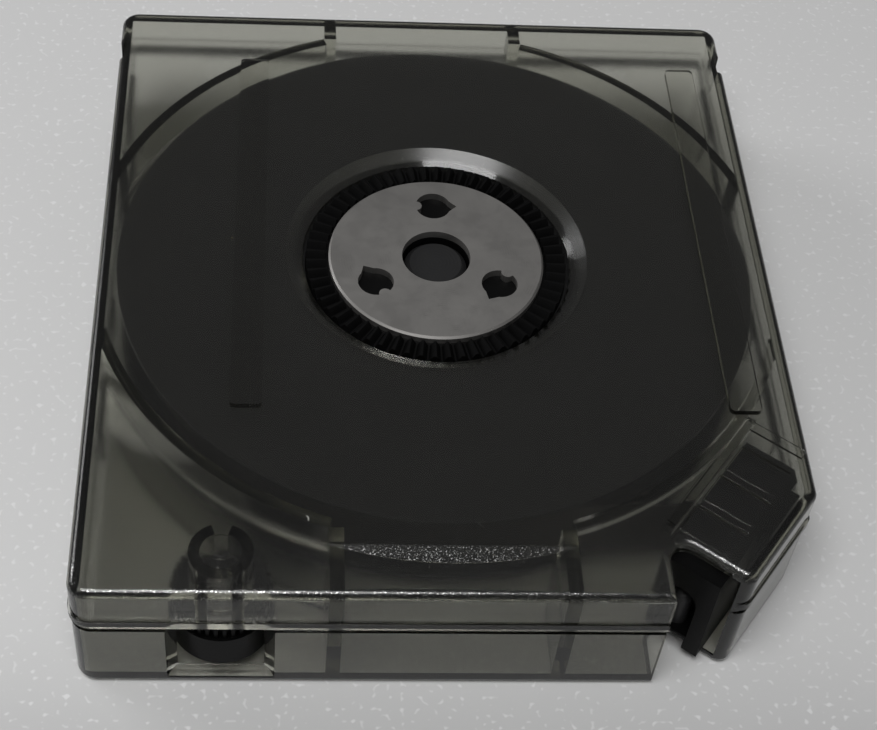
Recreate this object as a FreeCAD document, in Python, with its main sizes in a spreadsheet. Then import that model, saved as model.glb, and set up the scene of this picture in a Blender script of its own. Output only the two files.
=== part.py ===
"""Half-inch single-reel data tape cartridge, hub side up.

The frame: X runs along the front side, Y towards the rear, Z up out of the hub face.
The origin is under the middle of the case, on the label face that it lies on.
"""
import FreeCAD, Part
import math
import os

import Sketcher
from FreeCAD import Placement, Rotation, Vector

# Driving dimensions, in millimetres and degrees.
SIZES = {
    # the case
    "case_width": 109.0,
    "case_length": 125.0,
    "case_height": 24.5,
    "rib_rise": 0.9,
    "seam_height": 15.4,
    "wall": 1.8,
    "hub_plate": 1.8,
    "label_plate": 1.8,
    "corner_radius": 3.0,
    "edge_round": 1.4,
    "seam_bead": 0.3,
    "seam_bead_height": 1.4,
    "lap_depth": 0.35,
    "lap_height": 1.3,
    "seam_gap": 0.1,
    # the corner bay of the leader block
    "bay_angle": 52.3,
    "mouth_lead": 5.2,
    "mouth_width": 23.4,
    "bay_cut": 11.4,
    "bay_depth": 25.6,
    "bay_bead_set": 1.9,
    "notch_radius": 2.2,
    "bay_corner_radius": 1.8,
    "bay_panel_depth": 0.5,
    "bay_panel_length": 5.4,
    "bay_panel_pitch": 6.8,
    "bay_panel_width": 8.2,
    "bay_panel_lead": 1.5,
    "bay_panel_set": 13.1,
    "bay_bead_width": 1.6,
    "bay_bead_rise": 0.4,
    "bay_rib_width": 1.3,
    # stacking ribs and locating notches
    "rib_width": 4.9,
    "rib_front_inset": 33.0,
    "rib_rear_inset": 13.4,
    "left_rib_inset": 24.0,
    "right_rib_inset": 8.6,
    "locator_inset": 10.0,
    "locator_length": 5.2,
    "locator_depth": 1.2,
    "locator_height": 5.5,
    "sight_chord_inset": 8.8,
    "sight_arc_inset": 5.9,
    "sight_step": 0.12,
    "sight_slope": 16.0,
    "gate_dimple_radius": 2.1,
    "gate_dimple_depth": 0.15,
    # guard walls round the reel
    "guard_gap": 3.1,
    "guard_wall": 1.7,
    "guard_end": 17.4,
    "guard_side_angle": 17.5,
    "tape_gap_depth": 1.8,
    "side_pad_depth": 0.5,
    "side_pad_height": 7.5,
    "rear_pad_place": 47.6,
    "rear_pad_length": 11.5,
    "shoulder_pad_place": 30.0,
    "shoulder_pad_length": 6.5,
    "waist_pad_place": -3.5,
    "waist_pad_length": 5.5,
    "front_pad_place": -22.0,
    "front_pad_length": 12.0,
    # the reel
    "reel_place": 3.5,
    "window_radius": 21.75,
    "window_bevel": 2.7,
    "flange_gap": 0.9,
    "flange_lip": 4.0,
    "flange_thickness": 1.3,
    "flange_spacing": 13.0,
    "label_flange_bottom": 4.9,
    "hub_radius": 25.0,
    "hub_wall": 2.6,
    "web_thickness": 3.1,
    "web_top": 21.3,
    "teeth_inner_radius": 18.0,
    "teeth_outer_radius": 21.2,
    "teeth_count": 60,
    "tooth_mouth": 1.7,
    "tooth_root": 0.3,
    "tooth_depth": 1.1,
    "insert_radius": 17.5,
    "insert_thickness": 1.3,
    "insert_bore": 5.575,
    "insert_hole_place": 11.5,
    "insert_hole_radius": 2.9,
    "insert_tip_half": 1.45,
    "insert_tip_reach": 3.9,
    "insert_tip_spread": 2.3,
    "insert_tab_radius": 1.0,
    "tape_width": 12.65,
    # the reel brake
    "button_radius": 5.1,
    "button_recess": 1.5,
    "button_gap": 0.4,
    "brake_radius": 13.0,
    "brake_ring": 3.5,
    "brake_ring_drop": 1.6,
    "brake_disc": 1.2,
    "brake_tooth_depth": 1.1,
    "brake_tooth_slot": 1.4,
    "cutter_margin": 0.9,
    "brake_teeth": 24,
    "brake_gap": 0.3,
    "brake_travel": 3.4,
    "post_width": 4.4,
    "post_gap": 0.3,
    "post_height": 11.5,
    "sleeve_radius": 4.0,
    "sleeve_length": 4.4,
    "spring_radius": 4.6,
    "spring_wire": 0.7,
    "spring_turns": 5.0,
    # the write selector
    "selector_inset": 21.1,
    "selector_set": 8.1,
    "selector_radius": 7.7,
    "selector_shoulder": 0.5,
    "selector_foot": 2.2,
    "selector_height": 11.4,
    "selector_gap": 0.4,
    "selector_notch": 0.7,
    "selector_notches": 36,
    "selector_band": 3.2,
    "selector_flat": 5.2,
    "selector_axle": 2.7,
    "axle_gap": 0.3,
    "axle_rib": 1.65,
    "collar_start": 108.5,
    "collar_sweep": 323.0,
    "window_width": 12.6,
    "window_sill": 2.4,
    "window_splay": 1.5,
    "window_depth": 2.7,
    "sill_splay": 0.8,
    # the leader block and the end of the tape
    "block_length": 25.0,
    "block_corner": 1.8,
    "block_proud": 2.1,
    "block_width": 9.6,
    "block_height": 18.8,
    "block_gap": 0.4,
    "cavity_width": 6.0,
    "cavity_depth": 4.2,
    "cavity_height": 10.5,
    "cavity_floor": 3.2,
    "cavity_place": 1.2,
    "pin_radius": 1.5,
    "pin_height": 7.0,
    "pin_dome": 1.2,
    "foot_width": 2.6,
    "foot_height": 2.6,
    "foot_length": 8.4,
    "heel_length": 8.8,
    "heel_depth": 1.5,
    "heel_back": 3.8,
    "tape_thickness": 0.3,
    "strip_gap": 0.3,
    "latch_thickness": 0.5,
    "latch_height": 6.0,
    "latch_floor": 8.0,
    "latch_bow": 1.6,
    "latch_span": 4.8,
    "bay_back_wall": 1.2,
    # the bare label recesses
    "label_width": 80.0,
    "label_length": 46.0,
    "label_edge": 6.0,
    "label_depth": 0.4,
    "spine_height": 10.6,
    "spine_floor": 2.2,
}


class Size:
    """A length that keeps its number together with its spreadsheet formula."""

    def __init__(self, number, formula):
        self.number = number
        self.formula = formula

    def join(self, other, sign, number):
        return Size(number, f"({self.formula} {sign} {size(other).formula})")

    def __add__(self, other):
        return self.join(other, "+", self.number + size(other).number)

    def __sub__(self, other):
        return self.join(other, "-", self.number - size(other).number)

    def __mul__(self, other):
        return self.join(other, "*", self.number * size(other).number)

    def __truediv__(self, other):
        return self.join(other, "/", self.number / size(other).number)

    def __neg__(self):
        return Size(-self.number, f"(-1 * {self.formula})")

    def __radd__(self, other):
        return size(other) + self

    def __rsub__(self, other):
        return size(other) - self

    def __rmul__(self, other):
        return size(other) * self


def size(value):
    """A plain number as a Size."""
    return value if isinstance(value, Size) else Size(float(value), f"{float(value):.6f}")


def cosine(angle):
    return Size(math.cos(math.radians(angle.number)), f"cos({angle.formula})")


def sine(angle):
    return Size(math.sin(math.radians(angle.number)), f"sin({angle.formula})")


def tangent(angle):
    return Size(math.tan(math.radians(angle.number)), f"tan({angle.formula})")


class Sizes:
    """Every row of the spreadsheet as a Size, and the places that follow from them."""

    def __init__(self, rows):
        for alias, number in rows.items():
            setattr(self, alias, Size(float(number), f"<<Sizes>>.{alias}"))
        self.half_width = self.case_width / 2 - self.seam_bead
        self.half_length = self.case_length / 2 - self.seam_bead
        self.place_bay()
        self.place_reel()
        self.place_face()

    def place_bay(self):
        """The corner bay and its block keep their distance from the case's corner."""
        across, up = cosine(self.bay_angle), sine(self.bay_angle)
        corner = self.half_length * up - self.half_width * across
        self.bay_mouth = corner + self.mouth_lead
        self.bay_reach = self.half_width * up + self.half_length * across - self.bay_cut
        self.front_wall_end = self.half_width - self.mouth_width
        self.bay_back = self.bay_depth - self.bay_mouth
        self.bay_panel_first = self.bay_mouth - self.bay_panel_lead
        self.bay_panel_inner = self.bay_reach - self.bay_panel_set
        self.block_front = -self.bay_mouth - self.block_proud
        self.block_inner = (self.bay_reach - self.wall - self.block_gap - self.heel_depth
                            - self.block_width)

    def place_reel(self):
        """The reel fills the width of the case, and the guard walls stand round it."""
        self.flange_radius = self.half_width - self.wall - self.flange_gap
        self.pack_radius = self.flange_radius - self.flange_lip
        self.guard_radius = self.flange_radius + self.guard_gap

    def place_face(self):
        """The selector, ribs, crescent and locating notches keep to the case's edges."""
        self.selector_place = self.selector_inset - self.half_width
        self.selector_depth = self.selector_set - self.half_length
        self.left_rib_place = self.left_rib_inset - self.half_width
        self.right_rib_place = self.half_width - self.right_rib_inset
        self.rib_front = self.rib_front_inset - self.half_length
        self.rib_length = self.half_length - self.rib_rear_inset - self.rib_front
        self.sight_chord = self.sight_chord_inset - self.half_length
        self.sight_radius = self.half_length + self.reel_place - self.sight_arc_inset
        self.locator_place = self.half_length - self.locator_inset


def write_sheet(doc, rows):
    """The spreadsheet of driving dimensions: a name, a number and an alias in each row."""
    sheet = doc.addObject("Spreadsheet::Sheet", "Sizes")
    for row, (alias, number) in enumerate(rows.items(), start=1):
        sheet.set(f"A{row}", alias)
        sheet.set(f"B{row}", str(number))
        sheet.setAlias(f"B{row}", alias)
    doc.recompute()


# ---- small tools for bodies, sketches and features ----

def bind(thing, prop, value):
    """Ties one property to the spreadsheet."""
    thing.setExpression(prop, size(value).formula)


def new_body(doc, label, x=0, y=0, turn=0):
    """A body named for its sub-part, standing at x, y and turned about Z."""
    body = doc.addObject("PartDesign::Body", label)
    body.Label = label
    body.Placement = Placement(Vector(size(x).number, size(y).number, 0),
                               Rotation(Vector(0, 0, 1), size(turn).number))
    for prop, value in (("Placement.Base.x", x), ("Placement.Base.y", y),
                        ("Placement.Rotation.Angle", turn)):
        if isinstance(value, Size):
            bind(body, prop, value)
    return body


def new_sketch(body, name, role="XY_Plane", at=0, turn=0):
    """A sketch on one of the body's own planes, moved by at along the plane's normal."""
    plane = next(one for one in body.Origin.OriginFeatures if one.Role == role)
    sketch = body.newObject("Sketcher::SketchObject", name)
    sketch.AttachmentSupport = (plane, [""])
    sketch.MapMode = "FlatFace"
    sketch.AttachmentOffset = Placement(Vector(0, 0, size(at).number),
                                        Rotation(Vector(0, 0, 1), size(turn).number))
    if isinstance(at, Size):
        bind(sketch, "AttachmentOffset.Base.z", at)
    if isinstance(turn, Size):
        bind(sketch, "AttachmentOffset.Rotation.Angle", turn)
    return sketch


def pin(sketch, geometry, place, x, y):
    """Holds one point of the sketch at x, y."""
    for kind, value in (("DistanceX", size(x)), ("DistanceY", size(y))):
        rule = Sketcher.Constraint(kind, -1, 1, geometry, place, value.number)
        index = sketch.addConstraint(rule)
        bind(sketch, f"Constraints[{index}]", value)


def polygon(sketch, points):
    """A closed outline through the points."""
    first = sketch.GeometryCount
    flat = [Vector(size(x).number, size(y).number, 0) for x, y in points]
    count = len(flat)
    for i in range(count):
        sketch.addGeometry(Part.LineSegment(flat[i], flat[(i + 1) % count]), False)
    for i in range(count):
        sketch.addConstraint(
            Sketcher.Constraint("Coincident", first + i, 2, first + (i + 1) % count, 1))
    for i, (x, y) in enumerate(points):
        pin(sketch, first + i, 1, x, y)
    return sketch


def arc_geometry(start, end, radius, hollow):
    """The arc from start to end, bulging right, or left where the corner is hollow."""
    chord = end - start
    reach = math.sqrt(radius ** 2 - (chord.Length / 2) ** 2)
    left = Vector(-chord.y, chord.x, 0).normalize() * (-reach if hollow else reach)
    centre = (start + end) / 2 + left
    first, last = (end, start) if hollow else (start, end)
    angles = [math.atan2(one.y - centre.y, one.x - centre.x) for one in (first, last)]
    if angles[1] < angles[0]:
        angles[1] += 2 * math.pi
    ring = Part.Circle(centre, Vector(0, 0, 1), radius)
    return Part.ArcOfCircle(ring, *angles)


def rounded_outline(sketch, corners):
    """A closed outline, anticlockwise: points, and rounded corners of four values each.

    A rounded corner is its two tangent points, its radius and whether it is hollow.
    """
    ends = [(one, one) if len(one) == 2 else one[:2] for one in corners]
    flat = [[Vector(size(x).number, size(y).number, 0) for x, y in pair] for pair in ends]
    count = len(corners)
    lines = [sketch.addGeometry(Part.LineSegment(flat[i][1], flat[(i + 1) % count][0]), False)
             for i in range(count)]
    for i, corner in enumerate(corners):
        before, after = lines[i - 1], lines[i]
        pin(sketch, before, 2, *ends[i][0])
        if len(corner) == 2:
            sketch.addConstraint(Sketcher.Constraint("Coincident", before, 2, after, 1))
            continue
        pin(sketch, after, 1, *ends[i][1])
        _, _, radius, hollow = corner
        arc = sketch.addGeometry(arc_geometry(*flat[i], radius.number, hollow), False)
        first, last = (2, 1) if hollow else (1, 2)
        sketch.addConstraint(Sketcher.Constraint("Coincident", before, 2, arc, first))
        sketch.addConstraint(Sketcher.Constraint("Coincident", after, 1, arc, last))
        index = sketch.addConstraint(Sketcher.Constraint("Radius", arc, radius.number))
        bind(sketch, f"Constraints[{index}]", radius)
    return sketch


def rectangle(sketch, x0, x1, y0, y1):
    return polygon(sketch, [(x0, y0), (x1, y0), (x1, y1), (x0, y1)])


def circle(sketch, x, y, radius):
    radius = size(radius)
    centre = Vector(size(x).number, size(y).number, 0)
    geometry = sketch.addGeometry(Part.Circle(centre, Vector(0, 0, 1), radius.number), False)
    pin(sketch, geometry, 3, x, y)
    index = sketch.addConstraint(Sketcher.Constraint("Radius", geometry, radius.number))
    bind(sketch, f"Constraints[{index}]", radius)
    return sketch


def pad(body, name, sketch, length, reverse=False):
    feature = body.newObject("PartDesign::Pad", name)
    feature.Profile = sketch
    feature.Reversed = reverse
    bind(feature, "Length", length)
    return settle(body, feature)


def pocket(body, name, sketch, length, reverse=False):
    """Cuts against the sketch's normal, or along it when reversed."""
    before = body.Shape.Volume
    feature = body.newObject("PartDesign::Pocket", name)
    feature.Profile = sketch
    feature.Reversed = reverse
    bind(feature, "Length", length)
    settle(body, feature)
    if not body.Shape.Volume < before:
        raise RuntimeError(f"{name} cuts nothing")
    return feature


def revolve(body, name, points, angle=360):
    """A solid of revolution about the body's Z axis, from radius and height pairs."""
    sketch = polygon(new_sketch(body, name + "_profile", "XZ_Plane"), points)
    feature = body.newObject("PartDesign::Revolution", name)
    feature.Profile = sketch
    feature.ReferenceAxis = (sketch, ["V_Axis"])
    feature.Angle = angle
    return settle(body, feature)


def polar(body, name, feature, count):
    """Repeats a feature round the body's Z axis."""
    pattern = body.newObject("PartDesign::PolarPattern", name)
    pattern.Originals = [feature]
    pattern.Axis = (next(one for one in body.Origin.OriginFeatures if one.Role == "Z_Axis"), [""])
    pattern.Angle = 360
    bind(pattern, "Occurrences", count)
    body.Tip = pattern
    return settle(body, pattern)


def settle(body, feature):
    """Recomputes, and stops if the feature failed."""
    body.Document.recompute()
    if "Invalid" in feature.State or "Error" in feature.State or feature.Shape.isNull():
        raise RuntimeError(f"{body.Label}: {feature.Name} failed")
    return feature


def dress(body, kind, name, radius, wanted):
    """A fillet or chamfer on the edges of the body that pass the wanted test."""
    base = body.Tip
    names = [f"Edge{i}" for i, edge in enumerate(base.Shape.Edges, start=1) if wanted(edge)]
    if not names:
        raise RuntimeError(f"{name} finds no edges")
    feature = body.newObject("PartDesign::" + kind, name)
    feature.Base = (base, names)
    bind(feature, "Radius" if kind == "Fillet" else "Size", radius)
    return settle(body, feature)


def upright_at(points, near=0.05):
    """A test for upright edges that stand on one of the points."""
    def test(edge):
        ends = [v.Point for v in edge.Vertexes]
        if len(ends) != 2 or abs(ends[0].z - ends[1].z) < near:
            return False
        return any(math.hypot(end.x - size(x).number, end.y - size(y).number) < near
                   for x, y in points for end in ends[:1])
    return test


def level_at(height, near=0.01):
    """A test for edges that lie flat at one height."""
    def test(edge):
        box = edge.BoundBox
        return abs(box.ZMin - size(height).number) < near and box.ZLength < near
    return test


# ---- outlines of the case ----

def bay_point(dim, along, out):
    """A point of the corner bay: along its length, and outwards across it."""
    across, up = cosine(dim.bay_angle), sine(dim.bay_angle)
    return along * across + out * up, along * up - out * across


def chamfer_end(dim, side, out):
    """Where the cut corner, out from the middle, meets the side wall."""
    return (side * sine(dim.bay_angle) - out) / cosine(dim.bay_angle)


def half_sizes(dim, grow):
    """Half the width, half the length and the reach of the cut corner."""
    return dim.half_width + grow, dim.half_length + grow, dim.bay_reach + grow


def square_corner(x, y, radius, order):
    """A rounded corner of the case; order is the sign of x, then of y, from the middle."""
    east, north = order
    along_x = (x - east * radius, y)
    along_y = (x, y - north * radius)
    return (along_y, along_x) if east == north else (along_x, along_y)


def case_outline(dim, grow=0):
    """The case seen from above, anticlockwise, with the notch and the cut corner."""
    side, end, out = half_sizes(dim, grow)
    radius = dim.corner_radius + grow
    mouth, wall_end = -dim.bay_mouth, dim.front_wall_end
    turn, cut = dim.bay_angle, dim.bay_corner_radius
    notch_y = (mouth - wall_end * cosine(turn)) / sine(turn)
    notch_out = wall_end * sine(turn) - notch_y * cosine(turn)
    notch_run = dim.notch_radius / tangent(turn / 2)
    chamfer_y = chamfer_end(dim, side, out)
    chamfer_along = side * cosine(turn) + chamfer_y * sine(turn)
    chamfer_run = cut * tangent((90 - turn) / 2)
    return [
        (*square_corner(-side, -end, radius, (-1, -1)), radius, False),
        (wall_end, -end),
        ((wall_end, notch_y - notch_run), bay_point(dim, mouth, notch_out + notch_run),
         dim.notch_radius, True),
        (bay_point(dim, mouth, out - cut), bay_point(dim, mouth + cut, out), cut, False),
        (bay_point(dim, chamfer_along - chamfer_run, out), (side, chamfer_y + chamfer_run),
         cut, False),
        (*square_corner(side, end, radius, (1, 1)), radius, False),
        (*square_corner(-side, end, radius, (-1, 1)), radius, False),
    ]


def hollow_outline(dim):
    """The inside of the walls, run out through the open mouth of the bay."""
    side, end, out = half_sizes(dim, -dim.wall)
    return [
        (-side, -end),
        (dim.front_wall_end + dim.wall, -end),
        bay_point(dim, -dim.bay_mouth - dim.wall, out),
        (side, chamfer_end(dim, side, out)),
        (side, end),
        (-side, end),
    ]


def case_block(body, dim, name, floor, height, grow=0):
    """One storey of the case."""
    sketch = new_sketch(body, name + "_outline", at=floor)
    return pad(body, name, rounded_outline(sketch, case_outline(dim, grow)), height)


def arc_wall(body, name, place, radii, heights, start, sweep):
    """A wall bent round an upright axis at place, from start through sweep degrees."""
    x, y = place
    sketch = new_sketch(body, name + "_profile", "XZ_Plane")
    sketch.AttachmentOffset = Placement(Vector(size(x).number, 0, -size(y).number),
                                        Rotation(Vector(0, 1, 0), size(start).number))
    bind(sketch, "AttachmentOffset.Base.x", x)
    bind(sketch, "AttachmentOffset.Base.z", -size(y))
    bind(sketch, "AttachmentOffset.Rotation.Angle", start)
    rectangle(sketch, *radii, *heights)
    feature = body.newObject("PartDesign::Revolution", name)
    feature.Profile = sketch
    feature.ReferenceAxis = (sketch, ["V_Axis"])
    bind(feature, "Angle", sweep)
    return settle(body, feature)


def guard_turn(dim):
    """The angle at which a guard wall round the reel reaches its straight wall."""
    ratio = dim.guard_end / dim.guard_radius
    return Size(math.degrees(math.acos(ratio.number)), f"(acos({ratio.formula}) / 1deg)")


def reel_guards(body, dim, heights, near_right):
    """The guard walls round the reel, and the straight walls that brace them."""
    turn = guard_turn(dim)
    sweep = turn - dim.guard_side_angle
    radii = (dim.guard_radius, dim.guard_radius + dim.guard_wall)
    centre = (0, dim.reel_place)
    arc_wall(body, "guard_far_right", centre, radii, heights, dim.guard_side_angle, sweep)
    arc_wall(body, "guard_far_left", centre, radii, heights, 180 - turn, sweep)
    arc_wall(body, "guard_near_left", centre, radii, heights, 180 + dim.guard_side_angle, sweep)
    if near_right:
        arc_wall(body, "guard_near_right", centre, radii, near_right, 360 - turn, sweep)
    _, end, _ = half_sizes(dim, -dim.wall)
    rise = radii[1] * sine(turn)
    braces = new_sketch(body, "brace_lines", at=heights[0])
    inner, outer = dim.guard_end - dim.guard_wall, dim.guard_end + dim.guard_wall / 4
    for x0, x1 in ((inner, outer), (-outer, -inner)):
        rectangle(braces, x0, x1, dim.reel_place + rise, end + dim.wall / 2)
        rectangle(braces, x0, x1, -end - dim.wall / 2, dim.reel_place - rise)
    pad(body, "braces", braces, heights[1] - heights[0])


# ---- the two halves of the case ----

def hub_side_shell(doc, dim):
    """The half round the hub: ribs, locating notches, the hub window and the bay roof."""
    body = new_body(doc, "hub_side_shell")
    top = dim.case_height - dim.rib_rise
    roof = top - dim.hub_plate
    case_block(body, dim, "rim", dim.seam_height, dim.seam_bead_height, dim.seam_bead)
    case_block(body, dim, "shell", dim.seam_height, top - dim.seam_height)
    dress(body, "Fillet", "face_round", dim.edge_round, level_at(top))
    hollow = polygon(new_sketch(body, "hollow_outline", at=dim.seam_height), hollow_outline(dim))
    pocket(body, "hollow", hollow, roof - dim.seam_height, reverse=True)
    hub_window(body, dim, roof)
    hub_face_details(body, dim, top)
    bay_roof(body, dim, top)
    locating_notches(body, dim, top)
    floor = dim.seam_height + dim.seam_gap
    reel_guards(body, dim, (floor, roof), (roof - dim.tape_gap_depth, roof))
    selector_cage(body, dim, roof)
    return body


def hub_window(body, dim, roof):
    """The round window with its broad bevel."""
    cone = body.newObject("PartDesign::SubtractiveCone", "window")
    plane = next(one for one in body.Origin.OriginFeatures if one.Role == "XY_Plane")
    cone.AttachmentSupport = (plane, [""])
    cone.MapMode = "FlatFace"
    bind(cone, "AttachmentOffset.Base.y", dim.reel_place)
    bind(cone, "AttachmentOffset.Base.z", roof)
    bind(cone, "Radius1", dim.window_radius)
    bind(cone, "Radius2", dim.window_radius + dim.window_bevel)
    bind(cone, "Height", dim.hub_plate)
    settle(body, cone)


def hub_face_details(body, dim, top):
    """The crescent at the front of the face, the gate's dimple and the stacking ribs."""
    sunk_crescent(body, dim, top)
    dimple = circle(new_sketch(body, "dimple_circle", at=top), dim.selector_place,
                    dim.selector_depth, dim.gate_dimple_radius)
    pocket(body, "gate_dimple", dimple, dim.gate_dimple_depth)
    ribs = new_sketch(body, "rib_lines", at=top)
    for place in (dim.left_rib_place, dim.right_rib_place):
        rectangle(ribs, place - dim.rib_width / 2, place + dim.rib_width / 2,
                  dim.rib_front, dim.rib_front + dim.rib_length)
    pad(body, "stacking_ribs", ribs, dim.rib_rise)
    corners = [(place + side * dim.rib_width / 2, dim.rib_front + end * dim.rib_length)
               for place in (dim.left_rib_place, dim.right_rib_place)
               for side in (-1, 1) for end in (0, 1)]
    dress(body, "Fillet", "rib_corners", dim.rib_width / 6, upright_at(corners))


def sunk_crescent(body, dim, top):
    """A crescent that slopes down towards the front, on a sketch tilted about its chord."""
    sketch = new_sketch(body, "crescent_lines", at=top - dim.sight_step)
    offset = sketch.AttachmentOffset
    offset.Base.y = dim.sight_chord.number
    offset.Rotation = Rotation(Vector(1, 0, 0), dim.sight_slope.number)
    sketch.AttachmentOffset = offset
    bind(sketch, "AttachmentOffset.Base.y", dim.sight_chord)
    bind(sketch, "AttachmentOffset.Rotation.Angle", dim.sight_slope)
    rise = dim.reel_place - dim.sight_chord
    reach = math.sqrt(dim.sight_radius.number ** 2 - rise.number ** 2)
    angle = math.atan2(rise.number, reach)
    ring = Part.Circle(Vector(0, rise.number, 0), Vector(0, 0, 1), dim.sight_radius.number)
    arc = sketch.addGeometry(Part.ArcOfCircle(ring, math.pi + angle, 2 * math.pi - angle), False)
    pin(sketch, arc, 3, 0, rise)
    index = sketch.addConstraint(Sketcher.Constraint("Radius", arc, dim.sight_radius.number))
    bind(sketch, f"Constraints[{index}]", dim.sight_radius)
    chord = sketch.addGeometry(
        Part.LineSegment(Vector(reach, 0, 0), Vector(-reach, 0, 0)), False)
    sketch.addConstraint(Sketcher.Constraint("Coincident", arc, 2, chord, 1))
    sketch.addConstraint(Sketcher.Constraint("Coincident", chord, 2, arc, 1))
    for end in (1, 2):
        sketch.addConstraint(Sketcher.Constraint("PointOnObject", chord, end, -1))
    pocket(body, "sunk_crescent", sketch, dim.hub_plate, reverse=True)


def bay_roof(body, dim, top):
    """Three sunk panels over the leader block, the bead round them and the rib under it."""
    panels = new_sketch(body, "panel_lines", at=top, turn=dim.bay_angle)
    near = -(dim.bay_panel_inner + dim.bay_panel_width)
    for step in range(3):
        start = step * dim.bay_panel_pitch - dim.bay_panel_first
        rectangle(panels, start, start + dim.bay_panel_length, near, -dim.bay_panel_inner)
    pocket(body, "bay_panels", panels, dim.bay_panel_depth)
    bead = new_sketch(body, "bead_line", at=top, turn=dim.bay_angle)
    start = dim.bay_back - dim.bay_bead_set
    back = start + dim.bay_bead_width
    inner = -dim.bay_panel_inner + dim.notch_radius
    polygon(bead, [
        (start, near), (back, near), (back, inner), (-dim.bay_panel_first, inner),
        (-dim.bay_panel_first, inner - dim.bay_bead_width),
        (start, inner - dim.bay_bead_width)])
    pad(body, "bay_bead", bead, dim.bay_bead_rise)
    roof = top - dim.hub_plate
    rib = new_sketch(body, "bay_rib_line", at=roof - dim.tape_gap_depth, turn=dim.bay_angle)
    rectangle(rib, -dim.bay_panel_first, dim.bay_back + dim.bay_back_wall,
              inner - dim.bay_rib_width, inner)
    pad(body, "bay_rib", rib, dim.tape_gap_depth)


def locating_notches(body, dim, top):
    """A notch in each side near the rear, which places the cartridge in a drive."""
    notches = new_sketch(body, "locator_lines", at=top)
    side, _, _ = half_sizes(dim, 0)
    y0 = dim.locator_place - dim.locator_length / 2
    for x0, x1 in ((side - dim.locator_depth, side + dim.wall),
                   (-side - dim.wall, -side + dim.locator_depth)):
        rectangle(notches, x0, x1, y0, y0 + dim.locator_length)
    pocket(body, "locating_notches", notches, dim.locator_height)


def selector_cage(body, dim, roof):
    """The split collar that holds the selector's axle, and its two legs."""
    floor = dim.window_sill + dim.selector_gap * 2 + dim.selector_height
    inner = dim.selector_axle + dim.axle_gap
    radii = (inner, inner + dim.axle_rib)
    place = (dim.selector_place, dim.selector_depth)
    arc_wall(body, "axle_collar", place, radii, (floor, roof), dim.collar_start,
             dim.collar_sweep)
    _, end, _ = half_sizes(dim, -dim.wall)
    legs = new_sketch(body, "leg_lines", at=floor)
    for side in (-1, 1):
        middle = dim.selector_place + side * (inner - dim.axle_rib / 4)
        rectangle(legs, middle - dim.axle_rib / 2, middle + dim.axle_rib / 2,
                  -end - dim.wall / 2, dim.selector_depth - inner - dim.axle_rib / 4)
    pad(body, "collar_legs", legs, roof - floor)


def label_side_shell(doc, dim):
    """The deeper half: the brake post, the reel seat and the selector window."""
    body = new_body(doc, "label_side_shell")
    lap_floor = dim.seam_height - dim.lap_height
    case_block(body, dim, "lap", 0, dim.seam_height, -dim.lap_depth)
    case_block(body, dim, "shell", 0, lap_floor)
    dress(body, "Fillet", "face_round", dim.edge_round, level_at(0))
    hollow = polygon(new_sketch(body, "hollow_outline", at=dim.label_plate), hollow_outline(dim))
    pocket(body, "hollow", hollow, dim.seam_height - dim.label_plate, reverse=True)
    selector_window(body, dim)
    label_recesses(body, dim)
    reel_guards(body, dim, (dim.label_plate, dim.seam_height - dim.seam_gap), None)
    reel_seat(body, dim)
    side_pads(body, dim)
    bay_back_wall(body, dim)
    return body


def selector_window(body, dim):
    """The window in the front wall with splayed jambs and sill."""
    _, end, _ = half_sizes(dim, 0)
    half = dim.window_width / 2
    wide = half + dim.window_splay
    middle = dim.selector_place
    deep = -end + dim.window_depth
    jambs = new_sketch(body, "jamb_lines", at=dim.window_sill)
    polygon(jambs, [(middle - wide, -end), (middle + wide, -end), (middle + half, -end + dim.wall),
                    (middle + half, deep), (middle - half, deep), (middle - half, -end + dim.wall)])
    pocket(body, "selector_window", jambs, dim.seam_height - dim.window_sill, reverse=True)

    def sill_edge(edge):
        box = edge.BoundBox
        return (abs(box.ZMin - dim.window_sill.number) < 0.01 and box.ZLength < 0.01
                and abs(box.YMin + end.number) < 0.01 and box.YLength < 0.01)
    dress(body, "Chamfer", "sill_splay", dim.sill_splay, sill_edge)


def label_recesses(body, dim):
    """The bare shallow recesses for a label, on the face and down the rear wall."""
    _, end, _ = half_sizes(dim, 0)
    half = dim.label_width / 2
    face = rectangle(new_sketch(body, "face_label_lines"), -half, half,
                     end - dim.label_edge - dim.label_length, end - dim.label_edge)
    pocket(body, "face_label_recess", face, dim.label_depth, reverse=True)
    spine = new_sketch(body, "spine_label_lines", "XZ_Plane", at=-end)
    rectangle(spine, -half, half, dim.spine_floor, dim.spine_floor + dim.spine_height)
    pocket(body, "spine_label_recess", spine, dim.label_depth, reverse=True)


def reel_seat(body, dim):
    """The ring that the reel rests on, and the square post of the brake button."""
    centre = (0, dim.reel_place)
    inner = dim.hub_radius - dim.hub_wall
    heights = (dim.label_plate, dim.label_flange_bottom - dim.brake_gap)
    arc_wall(body, "seat_ring", centre, (inner, dim.hub_radius), heights, 0, size(360))
    half = dim.post_width / 2
    post = new_sketch(body, "post_lines", at=dim.label_plate)
    rectangle(post, -half, half, dim.reel_place - half, dim.reel_place + half)
    pad(body, "brake_post", post, dim.post_height)
    place = (dim.selector_place, dim.selector_depth)
    cup = dim.selector_axle + dim.axle_gap
    arc_wall(body, "axle_cup", place, (cup, cup + dim.axle_rib),
             (dim.label_plate, dim.window_sill), 0, size(360))


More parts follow.
